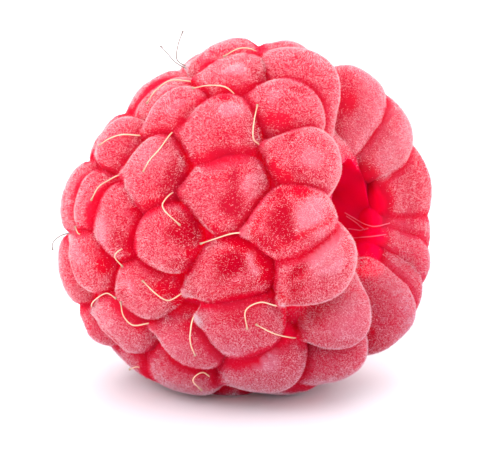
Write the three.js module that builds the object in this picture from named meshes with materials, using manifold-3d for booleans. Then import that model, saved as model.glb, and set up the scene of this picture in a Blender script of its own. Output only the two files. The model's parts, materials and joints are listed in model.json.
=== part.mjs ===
// A picked raspberry lying on its side, hollow where its core came out.
// Units are millimetres, +Z is up, and the open mouth looks along +X.
// The origin is on the surface the berry lies on, under the middle of its box.

import * as THREE from "three";
import { mergeVertices } from "three/addons/utils/BufferGeometryUtils.js";
import Module from "manifold-3d";

// ---------------------------------------------------------------- dimensions
const AXIS_TILT = 9.65;       // degrees: the mouth end is held up by the swell of the berry
const CENTRE = [1.057, -0.482, 9.8]; // the widest point of the axis
const WIDE = 10.35;           // radius over the drupelets at the widest point
const TO_APEX = 11.5;         // from the widest point to the closed end
const TO_MOUTH = 8.9;         // from the widest point to the open end
const MOUTH_RADIUS = 8.5;     // radius over the drupelets at the open end
const APEX_DROOP = 1.4;       // how far the closed end hangs off the axis
const MOUTH_DROOP = 0.1;

const DRUPELET = {
  length: 2.6,                // from its middle to the tip end
  blunt: 0.86,                // the mouth end, as a share of that
  width: 2.2,                 // half its width
  height: 2.5,                // from its middle out to its crown
  depth: 4.2,                 // from its middle in towards the hollow, at most
  shallow: 2.2,               // and at least
  plump: 2.7,                 // 2 is an ellipsoid, more is fuller
};
const NIB = { length: 0.45, rise: 28.6, spread: 12 };
const THREAD_RADIUS = 0.11;   // the dried thread that a drupelet carries at its tip
const THREAD_KNOB = 1.35;     // its end, as a share of that
const BARE_SHARE = 0.35;      // how many of the drupelets round the back have lost theirs
const CORE_SKIN = 2.15;       // how far the flesh that joins the drupelets lies below their crowns

const HOLLOW_TILT = 2.5;      // degrees
const HOLLOW_LIFT = 0.35;     // how far its line runs above the middle of the berry
const HOLLOW_WALL = 3.7;      // its radius behind the drupelets' inner ends
const HOLLOW_CLEAR = 3.2;     // its radius between them
const HOLLOW_END = -5.6;      // how deep it goes, along the axis
const HOLLOW_SIDES = 18;

// Drupelets by ring, from the mouth to the closed end. Each is
// [bearing, along, lift, length, width, lean]: the bearing round the axis in degrees
// (0 top, 90 front, 180 under, 270 back), the place along the axis, the height of its
// crown off the swell, two size factors, and how far its tip leans, in degrees.
// `fill` is how many more the rule sets evenly between the last one and the first.
const RINGS = [
  {
    along: 6.6, fill: 0, listed: [
      [9, 5.4, 0.45, 1.22, 0.85, -28], [28, 5.2, -0.15, 1.0, 0.98, -3],
      [53, 6.75, -0.45, 0.95, 1.0, -16], [81, 6.1, 0.3, 1.1, 1.07, 3],
      [99.5, 6.9, 0.1, 1.14, 1.05, 36], [134, 7.0, -0.25, 0.9, 0.86, -5],
      [155.5, 4.9, 0.3, 1.19, 0.95, 2], [191.5, 6.9, -0.5, 1.18, 1.3, 10],
      [214, 6.9, -0.17, 1.0, 1.22, 8], [231, 6.8, 0.2, 1.14, 0.98, -13],
      [248, 6.9, 0.43, 0.98, 1.12, -16], [266.5, 7.7, 0.3, 0.78, 1.3, -2],
      [298, 7.4, -0.48, 1.0, 1.3, 0], [323.5, 6.5, -0.55, 1.07, 1.25, 2],
      [351, 3.3, 0.2, 0.92, 0.98, 0],
    ],
  },
  {
    along: 2.4, fill: 8, listed: [
      [-1.5, 0.6, 0.35, 0.98, 1.1, 26], [14, 1.6, 0.0, 0.99, 1.2, 2],
      [42.5, 1.65, 0.0, 1.03, 1.18, 0], [66, 2.1, -0.4, 1.09, 1.2, -3],
      [97.5, 1.95, -0.45, 1.26, 1.04, 16], [120, 1.75, 0.3, 1.05, 1.2, -30],
      [139, 1.9, 0.8, 1.18, 1.12, 12],
    ],
  },
  {
    along: -1.9, fill: 9, listed: [
      [0, -4.9, -0.35, 1.1, 1.0, 6], [17.5, -3.3, -0.6, 1.08, 1.06, -12],
      [32, -1.5, 0.0, 0.92, 0.88, 28], [57.5, -2.8, 0.0, 0.86, 1.22, -13],
      [81.5, -2.05, 0.15, 0.88, 0.98, 6], [100, -4.2, 0.1, 0.91, 0.96, 16],
      [125, -1.8, 0.3, 1.03, 0.8, -40], [142, -3.3, 0.6, 1.12, 1.18, 10],
    ],
  },
  {
    along: -5.7, fill: 6, listed: [
      [-16, -6.9, -0.55, 1.0, 1.0, 0], [16, -8.0, -0.43, 1.13, 1.08, -12],
      [36.5, -5.8, 0.2, 0.88, 0.9, -9], [72.5, -5.15, 0.3, 0.92, 1.1, 0],
      [117.5, -6.4, 0.13, 1.05, 1.12, -6], [148, -5.9, 0.1, 1.17, 0.96, 0],
    ],
  },
  {
    along: -8.6, fill: 3, listed: [
      [-17, -9.3, -0.4, 1.0, 1.0, 0], [43, -9.45, 0.18, 1.25, 1.05, 0],
      [60, -7.25, 0.3, 0.91, 0.97, 28], [85.5, -7.6, 0.5, 0.94, 0.97, -40],
      [132, -9.35, 0.07, 0.95, 0.73, -5], [173, -8.7, 0.15, 1.0, 0.93, -3],
    ],
  },
  {
    along: -10.7, fill: 2, listed: [
      [8, -10.7, 0.24, 0.94, 0.99, 8], [92.5, -10.75, 0.2, 1.24, 1.11, 2],
    ],
  },
];

// The threads, each a path from inside the tip it grows from, measured from CENTRE.
const THREADS = [
  [[1.1, -4.0, 8.2], [0.8, -4.2, 8.4], [0.2, -4.7, 9.1], [-1.0, -4.2, 9.0], [-1.8, -4.8, 8.9]],
  [[3.1, -6.2, 6.1], [2.8, -6.4, 6.3], [2.6, -6.9, 6.8], [2.5, -6.4, 7.7], [2.4, -5.5, 8.4]],
  [[-2.1, -6.2, 6.5], [-2.5, -6.3, 6.6], [-2.4, -7.9, 6.0], [-3.1, -8.5, 5.5], [-3.4, -8.9, 4.8]],
  [[-1.3, -8.0, 3.5], [-1.7, -8.2, 3.6], [-2.0, -9.1, 3.3], [-1.9, -9.7, 2.9], [-0.8, -10.0, 2.1]],
  [[3.0, -9.1, 1.8], [2.7, -9.4, 1.8], [2.1, -9.5, 1.7], [1.2, -9.2, 1.3], [0.2, -9.3, 0.9]],
  [[-5.2, -6.7, 3.8], [-5.6, -6.8, 3.9], [-6.2, -7.1, 3.6], [-6.6, -7.7, 3.3], [-6.9, -8.1, 2.6]],
  [[-4.3, -5.5, 6.1], [-4.7, -5.8, 6.1], [-5.6, -6.3, 6.2], [-6.4, -6.3, 5.9], [-7.1, -6.1, 5.4]],
  [[-4.0, -8.6, 0.3], [-4.5, -8.8, 0.1], [-4.6, -9.7, 0.2], [-5.0, -9.4, -0.3], [-4.6, -9.2, -0.9]],
  [[-0.8, -8.6, -2.1], [-1.1, -8.8, -2.3], [-1.7, -9.5, -2.6], [-2.3, -10.0, -2.1], [-3.1, -10.0, -1.4]],
  [[-2.9, -8.2, -4.5], [-3.3, -8.5, -4.4], [-4.1, -8.8, -4.5], [-4.7, -8.8, -4.0], [-4.8, -9.0, -3.1]],
  [[-7.4, -5.6, -4.7], [-7.8, -5.6, -4.7], [-7.3, -6.8, -3.9], [-6.0, -8.2, -2.9], [-5.1, -9.0, -2.9]],
  [[4.8, -8.4, -2.3], [4.6, -8.6, -2.6], [3.8, -9.2, -2.3], [3.1, -9.8, -2.7], [3.2, -9.8, -3.8]],
  [[5.3, -6.2, -4.9], [5.1, -6.4, -5.1], [4.5, -8.6, -4.3], [3.7, -9.7, -3.5]],
  [[0.1, -8.8, -3.6], [-0.3, -9.1, -3.6], [-0.4, -9.4, -4.5], [-0.4, -9.3, -5.2], [-0.2, -9.1, -5.9]],
  [[0.4, -6.1, -8.0], [0.1, -6.2, -8.3], [-0.3, -7.4, -7.4], [-0.8, -7.8, -7.8], [-0.4, -7.4, -8.5]],
  [[1.0, -0.1, 9.9], [0.7, 0.0, 10.1], [0.3, -0.6, 10.5], [-0.2, -1.3, 10.6], [-0.9, -1.8, 10.2]],
  [[-2.4, -2.3, 8.6], [-2.8, -2.4, 8.7], [-3.8, -2.9, 8.8], [-4.5, -3.5, 8.3], [-4.9, -4.0, 7.6]],
  [[-6.9, -7.1, 0.6], [-7.3, -7.1, 0.5], [-7.9, -7.4, 0.3], [-8.2, -7.3, 0.7]],
  [[-8.6, -5.8, -0.4], [-9.1, -5.7, -0.2], [-9.6, -6.0, -0.3], [-10.0, -6.2, -0.7], [-10.0, -6.3, -1.1]],
  [[-3.1, -0.8, 9.0], [-3.5, -0.9, 9.2], [-4.1, -0.9, 9.6], [-4.1, -0.7, 10.4], [-3.9, -0.4, 11.2]],
  [[-3.2, -0.9, 9.0], [-3.6, -1.1, 9.2], [-4.1, -1.2, 9.5], [-4.6, -1.2, 10.0], [-5.0, -1.2, 10.4]],
  [[-4.4, -4.9, -8.1], [-4.8, -4.9, -8.4], [-5.0, -5.6, -8.0], [-5.6, -5.3, -8.3]],
];

// ---------------------------------------------------------------- the berry's swell
const rad = (d) => (d * Math.PI) / 180;
const AHEAD = new THREE.Vector3(Math.cos(rad(AXIS_TILT)), 0, Math.sin(rad(AXIS_TILT)));
const ABOVE = new THREE.Vector3(-Math.sin(rad(AXIS_TILT)), 0, Math.cos(rad(AXIS_TILT)));
const FRONT = new THREE.Vector3(0, -1, 0);

function crownRadius(along) {
  if (along < 0) return WIDE * Math.sqrt(Math.max(1e-6, 1 - (along / TO_APEX) ** 2));
  return WIDE - (WIDE - MOUTH_RADIUS) * (along / TO_MOUTH) ** 2;
}

function outward(bearing) {
  return ABOVE.clone().multiplyScalar(Math.cos(rad(bearing)))
    .addScaledVector(FRONT, Math.sin(rad(bearing)));
}

function axisPoint(along) {
  const droop = along < 0 ? APEX_DROOP * (along / TO_APEX) ** 2
    : MOUTH_DROOP * (along / TO_MOUTH) ** 2;
  return new THREE.Vector3(...CENTRE).addScaledVector(AHEAD, along).addScaledVector(ABOVE, -droop);
}

function crownPoint(along, bearing) {
  return axisPoint(along).addScaledVector(outward(bearing), crownRadius(along));
}

// a repeatable draw between -0.5 and 0.5
function draw(i, k) {
  const x = Math.sin(i * 12.9898 + k * 78.233) * 43758.5453;
  return x - Math.floor(x) - 0.5;
}

function drupeletList() {
  const all = [];
  RINGS.forEach((ring, r) => {
    for (const [bearing, along, lift, length, width, lean] of ring.listed) {
      all.push({ r, bearing, along, lift, length, width, lean, listed: true });
    }
    const first = ring.listed[0][0];
    const last = ring.listed[ring.listed.length - 1][0];
    const step = (360 - (last - first)) / (ring.fill + 1);
    for (let i = 1; i <= ring.fill; i += 1) {
      const n = all.length;
      all.push({
        r,
        bearing: last + step * i + 4 * draw(n, 1),
        along: ring.along + 0.9 * draw(n, 2),
        lift: 0.1 + 0.5 * draw(n, 3),
        length: 1.04 + 0.16 * draw(n, 4),
        width: 1.02 + 0.16 * draw(n, 5),
        lean: 50 * draw(n, 6),
      });
    }
  });
  return all;
}

// ---------------------------------------------------------------- one drupelet
// Its own directions: towards its tip, across, and straight out of the swell.
function drupeletFrame(d) {
  const along = Math.max(d.along, -TO_APEX + 0.7);
  const h = 0.05;
  const p = crownPoint(along, d.bearing);
  const ahead = crownPoint(along + h, d.bearing).sub(crownPoint(along - h, d.bearing)).normalize();
  const round = crownPoint(along, d.bearing + 1).sub(crownPoint(along, d.bearing - 1));
  const out = new THREE.Vector3().crossVectors(round, ahead).normalize();
  if (out.dot(p.clone().sub(axisPoint(along))) < 0) out.negate();
  const tip = ahead.negate();
  const across = new THREE.Vector3().crossVectors(out, tip);
  const c = Math.cos(rad(d.lean));
  const s = Math.sin(rad(d.lean));
  return {
    middle: p.addScaledVector(out, d.lift - DRUPELET.height),
    tip: tip.clone().multiplyScalar(c).addScaledVector(across, s),
    across: across.clone().multiplyScalar(c).addScaledVector(tip, -s),
    out,
    inward: outward(d.bearing),
  };
}

// The point of its surface in the direction (x, y, z): x to the tip, y across, z out.
function drupeletPoint(d, f, x, y, z) {
  const flat = Math.hypot(x, y);
  const full = (flat ** DRUPELET.plump + Math.abs(z) ** DRUPELET.plump) ** (-1 / DRUPELET.plump);
  const toTip = Math.max(0, x);
  const sunk = Math.max(0, -z);
  const depth = Math.min(DRUPELET.depth, Math.max(DRUPELET.shallow, d.reach));
  let px = full * x * DRUPELET.length * d.length * (x > 0 ? 1 : DRUPELET.blunt);
  let py = full * y * DRUPELET.width * d.width * (1 - 0.3 * toTip ** 1.5);
  let pz = full * z * (z > 0 ? DRUPELET.height * (1 - 0.1 * toTip) : depth);
  px *= 1 - 0.4 * sunk;
  py *= 1 - 0.4 * sunk;
  const nx = Math.cos(rad(NIB.rise));
  const nz = Math.sin(rad(NIB.rise));
  const off = THREE.MathUtils.radToDeg(Math.acos(THREE.MathUtils.clamp(x * nx + z * nz, -1, 1)));
  const nib = NIB.length * Math.exp(-((off / NIB.spread) ** 2));
  px += nib * nx;
  pz += nib * nz;
  // below its middle it turns from the swell's own direction to point at the axis
  const turn = Math.min(1, Math.max(0, -pz / DRUPELET.depth));
  const up = f.out.clone().lerp(f.inward, turn);
  return f.middle.clone().addScaledVector(f.tip, px).addScaledVector(f.across, py)
    .addScaledVector(up, pz);
}

const RIM_POLAR = [27, 47, 63, 92, 128];
const POLAR = [27, 47, 63, 98];
const SIDES = 10;

function drupeletGeometry(d) {
  const f = drupeletFrame(d);
  const polars = d.r === 0 ? RIM_POLAR : POLAR;
  const points = [drupeletPoint(d, f, 0, 0, 1)];
  for (const polar of polars) {
    const s = Math.sin(rad(polar));
    const z = Math.cos(rad(polar));
    for (let k = 0; k < SIDES; k += 1) {
      const turn = (k / SIDES) * 2 * Math.PI;
      points.push(drupeletPoint(d, f, s * Math.cos(turn), s * Math.sin(turn), z));
    }
  }
  points.push(drupeletPoint(d, f, 0, 0, -1));
  return closedRings(points, polars.length, SIDES);
}

// A closed surface from a first point, rings of equal count, and a last point.
function closedRings(points, rings, sides) {
  const index = [];
  const at = (r, k) => 1 + r * sides + (k % sides);
  for (let k = 0; k < sides; k += 1) {
    index.push(0, at(0, k), at(0, k + 1));
    for (let r = 0; r < rings - 1; r += 1) {
      index.push(at(r, k), at(r + 1, k), at(r + 1, k + 1));
      index.push(at(r, k), at(r + 1, k + 1), at(r, k + 1));
    }
    index.push(at(rings - 1, k), points.length - 1, at(rings - 1, k + 1));
  }
  const g = new THREE.BufferGeometry();
  const flat = points.flatMap((p) => [p.x, p.y, p.z]);
  g.setAttribute("position", new THREE.Float32BufferAttribute(flat, 3));
  g.setIndex(index);
  return g;
}

// ---------------------------------------------------------------- one thread
// A thin three-sided tube along a smooth path, a little thicker at its dried end.
function threadGeometry(path) {
  const curve = new THREE.CatmullRomCurve3(path, false, "centripetal");
  const steps = path.length;
  const frames = curve.computeFrenetFrames(steps, false);
  const points = [curve.getPointAt(0)];
  for (let i = 0; i <= steps; i += 1) {
    const p = curve.getPointAt(i / steps);
    const radius = THREAD_RADIUS * (i === steps ? THREAD_KNOB : 1);
    for (let k = 0; k < 3; k += 1) {
      const turn = -(k / 3) * 2 * Math.PI;
      points.push(p.clone().addScaledVector(frames.normals[i], radius * Math.cos(turn))
        .addScaledVector(frames.binormals[i], radius * Math.sin(turn)));
    }
  }
  points[0].addScaledVector(frames.tangents[0], -0.05);
  points.push(curve.getPointAt(1).addScaledVector(frames.tangents[steps], 0.08));
  return closedRings(points, steps + 1, 3);
}

// The drupelets that the list of threads leaves out carry theirs by rule: out of the
// tip, up clear of the next drupelet and over to one side. The underside has none.
function hasRuledThread(d, n) {
  const bearing = (d.bearing + 360) % 360;
  const under = bearing >= 120 && bearing <= 212;
  return d.listed !== true && !under && draw(n, 9) > BARE_SHARE - 0.5;
}

function ruledThread(d, n) {
  const f = drupeletFrame(d);
  const nx = Math.cos(rad(NIB.rise));
  const nz = Math.sin(rad(NIB.rise));
  const side = draw(n, 7) > 0 ? 1 : -1;
  const long = 1 + 0.4 * draw(n, 8);
  const start = drupeletPoint(d, f, nx, 0, nz);
  const go = (tip, out, across) => start.clone().addScaledVector(f.tip, tip * long)
    .addScaledVector(f.out, out * long).addScaledVector(f.across, across * side * long);
  return [go(-0.5, -0.3, 0), go(0.1, 0.2, 0.05), go(0.6, 0.9, 0.3), go(1.0, 1.4, 1.0), go(1.1, 1.3, 1.9)];
}

// ---------------------------------------------------------------- flesh and hollow
// A turned solid about a line: `profile` is [along, radius], from its mouth end inwards.
function turned(profile, place, sides) {
  const points = [place(profile[0][0], 0, 0)];
  const inner = profile.slice(1, -1);
  for (const [along, radius] of inner) {
    for (let k = 0; k < sides; k += 1) points.push(place(along, (k / sides) * 360, radius));
  }
  points.push(place(profile[profile.length - 1][0], 0, 0));
  return closedRings(points, inner.length, sides);
}

function fleshGeometry() {
  const profile = [[5.6, 0]];
  for (const along of [5.2, 2.5, -0.5, -3.5, -6, -7.6, -8.6]) {
    profile.push([along, Math.max(1.5, crownRadius(along) - CORE_SKIN)]);
  }
  profile.push([-TO_APEX + CORE_SKIN, 0]);
  const place = (along, bearing, radius) =>
    axisPoint(along).addScaledVector(outward(bearing), radius);
  return turned(profile, place, HOLLOW_SIDES);
}

function hollowGeometry(radius, end) {
  const t = rad(HOLLOW_TILT);
  const place = (along, bearing, r) => new THREE.Vector3(...CENTRE)
    .add(new THREE.Vector3(along * Math.cos(t), 0, along * Math.sin(t) + HOLLOW_LIFT))
    .addScaledVector(FRONT, r * Math.sin(rad(bearing)))
    .add(new THREE.Vector3(0, 0, r * Math.cos(rad(bearing))));
  const profile = [
    [14.01, 0], [14, radius],
    [end + 4.8, radius], [end + 2.2, radius * 0.74], [end + 0.6, radius * 0.45], [end, 0],
  ];
  return turned(profile, place, HOLLOW_SIDES);
}

// ---------------------------------------------------------------- fusing
const wasm = await Module();
wasm.setup();

function solid(geometry) {
  const g = mergeVertices(geometry, 1e-5);
  return new wasm.Manifold(new wasm.Mesh({
    numProp: 3,
    vertProperties: new Float32Array(g.attributes.position.array),
    triVerts: new Uint32Array(g.index.array),
  }));
}

function buildBerry() {
  const drupelets = drupeletList();
  let berry = solid(fleshGeometry()).subtract(solid(hollowGeometry(HOLLOW_WALL, HOLLOW_END)));
  for (const d of drupelets) {
    const crown = crownRadius(Math.max(d.along, -TO_APEX + 0.7)) + d.lift;
    d.reach = d.r < 2 ? crown - DRUPELET.height - HOLLOW_CLEAR : DRUPELET.shallow;
    berry = berry.add(solid(drupeletGeometry(d)));
  }
  const centre = new THREE.Vector3(...CENTRE);
  for (const path of THREADS) {
    const points = path.map((p) => new THREE.Vector3(...p).add(centre));
    berry = berry.add(solid(threadGeometry(points)));
  }
  drupelets.forEach((d, n) => {
    if (hasRuledThread(d, n)) berry = berry.add(solid(threadGeometry(ruledThread(d, n))));
  });
  berry = berry.subtract(solid(hollowGeometry(HOLLOW_CLEAR, HOLLOW_END + 0.7)));
  const under = new THREE.BoxGeometry(60, 60, 20);
  under.deleteAttribute("normal");
  under.deleteAttribute("uv");
  under.translate(0, 0, -10);
  return berry.subtract(solid(under));
}

// The outer shell alone: specks of air caught between drupelets are filled.
function outerShell(mesh) {
  const root = Array.from({ length: mesh.vertProperties.length / 3 }, (_, i) => i);
  const find = (a) => {
    let b = a;
    while (root[b] !== b) b = root[b];
    root[a] = b;
    return b;
  };
  const tri = mesh.triVerts;
  for (let i = 0; i < tri.length; i += 3) {
    root[find(tri[i + 1])] = find(tri[i]);
    root[find(tri[i + 2])] = find(tri[i]);
  }
  const count = new Map();
  for (let i = 0; i < tri.length; i += 3) {
    count.set(find(tri[i]), (count.get(find(tri[i])) ?? 0) + 1);
  }
  const largest = [...count.entries()].sort((a, b) => b[1] - a[1])[0][0];
  const index = [];
  for (let i = 0; i < tri.length; i += 3) {
    if (find(tri[i]) === largest) index.push(tri[i], tri[i + 1], tri[i + 2]);
  }
  const g = new THREE.BufferGeometry();
  g.setAttribute("position", new THREE.Float32BufferAttribute(mesh.vertProperties, 3));
  g.setIndex(index);
  return g;
}

const skin = outerShell(buildBerry().getMesh());
skin.computeVertexNormals();

const flesh = new THREE.MeshStandardMaterial({ color: 0xd8263f, roughness: 0.6, metalness: 0 });
const berry = new THREE.Mesh(skin, flesh);
berry.name = "raspberry";

const part = new THREE.Group();
part.add(berry);
export default part;
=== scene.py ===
"""A ripe, picked raspberry lying on its side: fine meshes over its CAD solid.

Lengths are millimetres, in the CAD part's own frame, until a mesh is written in metres.
"""

import json
import math

import bpy
import numpy as np
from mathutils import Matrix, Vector

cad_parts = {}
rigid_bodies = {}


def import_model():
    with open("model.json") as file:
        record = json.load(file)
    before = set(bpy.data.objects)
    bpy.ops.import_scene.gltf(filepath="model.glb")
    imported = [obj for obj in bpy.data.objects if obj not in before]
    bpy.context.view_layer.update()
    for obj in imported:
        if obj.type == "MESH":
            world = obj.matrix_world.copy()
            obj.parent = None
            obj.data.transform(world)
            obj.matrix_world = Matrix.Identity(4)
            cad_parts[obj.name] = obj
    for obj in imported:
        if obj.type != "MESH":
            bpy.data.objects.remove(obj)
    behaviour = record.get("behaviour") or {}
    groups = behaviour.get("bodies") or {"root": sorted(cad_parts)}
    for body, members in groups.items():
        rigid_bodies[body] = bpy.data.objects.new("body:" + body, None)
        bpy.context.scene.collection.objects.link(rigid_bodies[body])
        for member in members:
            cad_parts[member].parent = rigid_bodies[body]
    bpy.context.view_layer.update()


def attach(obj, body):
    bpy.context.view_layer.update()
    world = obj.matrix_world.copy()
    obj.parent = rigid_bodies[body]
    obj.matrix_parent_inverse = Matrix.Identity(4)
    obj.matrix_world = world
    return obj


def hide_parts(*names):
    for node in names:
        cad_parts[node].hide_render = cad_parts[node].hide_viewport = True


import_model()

MM = 0.001
NODE = "raspberry"
rad = math.radians


def vec(*numbers):
    return np.array(numbers, dtype=float)


def unit(v):
    """The same directions, one long."""
    return v / np.linalg.norm(v, axis=-1, keepdims=True)


def smooth(low, high, x):
    """0 up to `low`, 1 from `high`, with a soft rise between them."""
    t = np.clip((x - low) / (high - low), 0.0, 1.0)
    return t * t * (3 - 2 * t)


def bell(x, middle, half_width):
    """1 in the middle, falling to 0 on both sides."""
    return np.exp(-(((x - middle) / half_width) ** 2))


# -------- driving dimensions
# the berry's swell
AXIS_TILT = 9.65  # degrees
CENTRE = vec(1.057, -0.482, 9.8)  # the widest point of the axis
WIDE = 10.35  # radius over the drupelets there
TO_APEX = 11.5  # from there to the closed end
TO_MOUTH = 8.9  # and to the open end
MOUTH_RADIUS = 8.5  # over the drupelets at the open end
APEX_DROOP = 1.4  # how far the closed end hangs off the axis
MOUTH_DROOP = 0.1

# a drupelet
LENGTH = 2.6  # from its middle to the tip end
BLUNT = 0.86  # the mouth end, as a share of that
WIDTH = 2.2  # half its width
HEIGHT = 2.5  # from its middle out to its crown
DEPTH = 4.2  # from its middle in towards the hollow, at most
SHALLOW = 2.2  # and at least
DEEP_RINGS = 2  # how many rings of them reach in to the hollow
PLUMP = 2.7  # 2 is an ellipsoid, more is fuller
TIP_NARROW = 0.3  # how much narrower the tip is,
TIP_POWER = 1.5  # how late it starts to narrow,
TIP_LOW = 0.1  # and how much lower it is
INNER_NARROW = 0.4  # how much narrower the inner end is
NIB_LENGTH = 0.45
NIB_RISE = 28.6  # degrees
NIB_SPREAD = 12  # degrees
APEX_CLEAR = 0.7  # how far its middle keeps from the closed end's point, along the axis
RIPPLE = 0.006  # how uneven its skin is, as a share of its size
RIPPLE_WAVES = 6
WAVE_TURNS = (3.5, 8.5)  # how fine they are, in radians over half a drupelet
DENT = 0.12  # how deep a worn patch lies
DRUPELET_SEED = 100

# the flesh that joins the drupelets
CORE_SKIN = 2.15  # how far it lies below their crowns
FLESH_MOUTH = [(6.6, 0), (6.4, 3.9), (5.8, 4.8)]  # (along, radius) of its open end
FLESH_ALONG = (5.2, 2.5, -0.5, -3.5, -6, -7.6, -8.6)  # the rest of it
FLESH_LEAST = 1.5  # its radius near the closed end
FLESH_SIDES = 96

# the hollow that the core came out of
HOLLOW_TILT = 2.5  # degrees
HOLLOW_LIFT = 0.35  # how far its line runs above the middle of the berry
HOLLOW_CLEAR = 3.2  # the CAD's radius between the drupelets' inner ends
HOLLOW_END = -5.6  # where it ends, along its line
SKIN_WALL = 3.4  # the wall and the cut of the visual model, a little nearer than the CAD's
SKIN_CLEAR = 3.0
SKIN_CLEAR_END = HOLLOW_END + 0.7
HOLLOW_OPEN = 14  # where the cut starts, beyond the mouth
HOLLOW_CLOSING = [(0.6, 0.45), (2.2, 0.74), (4.8, 1)]  # (off its end, share of its radius)
HOLLOW_STEP = 0.4
HOLLOW_LAST = 0.5  # how far off its end the last ring of points is
HOLLOW_POINT = 0.01  # how pointed its outer end is
HOLLOW_SIDES = 72
WALL_BUMP = 0.035  # how far the drupelets' inner ends stand out, as a share of the radius
WALL_BUMPS = 9  # round the wall
WALL_ROW = 4.2  # two rows of them

# the dried threads and the strands in the hollow
STRAND_RADIUS = 0.035
STRAND_SIDES = 6
THREAD_RADIUS = 0.042
THREAD_ROOT = 1.1  # how thick its root is, as a share of that,
THREAD_TAPER = 0.35  # how much it tapers,
THREAD_KNOB = 1.2  # how much its end is thicker again,
KNOB_FROM = 0.94  # and from where
THREAD_SIDES = 8
PATH_STEPS = 6  # how many points a path gets for each one listed
TUBE_ENDS = (0.5, 0.7)  # how far its ends stand out, as shares of its radius
TUBE_SIDE = vec(0.3, 0.5, 0.8)  # a direction that no path starts in
GREY_THREADS = (18, 19, 20)  # which of THREADS have dried grey
BARE_SHARE = 0.35  # how many of the drupelets round the back have lost theirs
UNDERSIDE = (120, 212)  # degrees: the bearings where the rule sets no thread
RULED_THREAD = [  # from a nib: towards the drupelet's tip, out and across
    (-0.5, -0.3, 0), (0.1, 0.2, 0.05), (0.6, 0.9, 0.3), (1.0, 1.4, 1.0), (1.1, 1.3, 1.9),
]

# The down. A place's gap is how much nearer it is to its own drupelet than to the next
# one, as a share of a drupelet's size: 0 along the valley between them.
VALLEY = 0.14  # the gap that the valley's bare red reaches,
MOUTH_VALLEY = 0.05  # and between the drupelets' ends round the mouth
VALLEY_UNEVEN = 0.25  # how much its width varies, as a share,
VALLEY_WAVES = (vec(1.9, 0.8, 1.3), vec(-0.9, 2.1, 1.5))  # and how fast, in radians a millimetre
JOIN_GAP = 0.15  # how much wider the gap counts where the down runs on across a valley
PIT_RISE = 0.45  # how far out a drupelet's side has its full down, as a share
EDGE_WAY = 0.1  # from the bare red to the thick down along a drupelet's edge
EDGE_WIDTH = 0.05
BAND_WAY = 0.26  # and to the barer band inside that
BAND_WIDTH = 0.06
BAND_BARENESS = (0.1, 0.6)  # how bare it is on most drupelets, drawn for each,
BARE_BANDS = {3: 0.9, 4: 0.4, 5: 0.6, 7: 0.9, 18: 0.6, 19: 0.5}  # and where it is plain
BAND_SEED = 3
# Painted shade: on an under side the down thins out over a wider way, so bare deep red shows where shade
# falls.
UPPER_SIDE = (-0.25, 0.45)  # the slopes between which an under side turns to an upper one
UPPER_THINNING = (-0.03, 0.06)  # the way over which the down thins out on an upper side
UNDER_SHADE_THINNING = (-0.02, 0.1)  # and on an under side, wider there as painted shade,
HIGH_THINNING = 0.18  # how much wider that is high up,
HIGH_UP = (7.0, 15.0)  # the heights over which it widens,
PLAIN_THINNING = 0.7  # how much less it does where the barer band is plain,
MOUTH_THINNING = 0.6  # and how much narrower it is in the mouth
TUFT_SPREAD = 7.5  # degrees: how wide the tuft on a nib is
TUFT_GAP = 0.1  # the gap over which it fades beside the next drupelet
MOUTH_SIDE = 0.5  # how far past its middle a drupelet's end in the mouth reaches
DOWNY_END = 7  # the drupelet that is downy right round its end in the mouth
MOUTH_BARE = (3.5, 4.2)  # how far off the hollow's line its bare red starts to fade and ends,
MOUTH_BARE_WIDE = (3.7, 4.7)  # the same half way up, where it is wider,
HOLLOW_GLOW_SPAN = (3.3, 3.7)  # and the same for the hollow's red, painted brighter for light through its thin walls
WIDE_FROM = (-1.5, 0.0)  # the heights off CENTRE over which the bare red gets wider,
WIDE_TO = (1.5, 3.0)  # and narrower again
HOLLOW_BEHIND = 0.5  # how far past its closed end a place still counts as in the hollow
LOW_DOWN = (1.0, 9.5)  # the heights between which the painted shade low down fades out,
LOW_LEAN = 0.25  # and their rise for each millimetre towards the mouth
MARK_FADE = (0.5, 1.35)  # where a mark starts to fade and ends, as shares of its size
MARK_UNEVEN = 0.22  # how uneven its rim is,
MARK_WAVES = (9, 8)  # and how finely, to the tip and across
SPOT_FADE = (0.6, 1.3)  # as MARK_FADE, of a pit or a join

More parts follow.
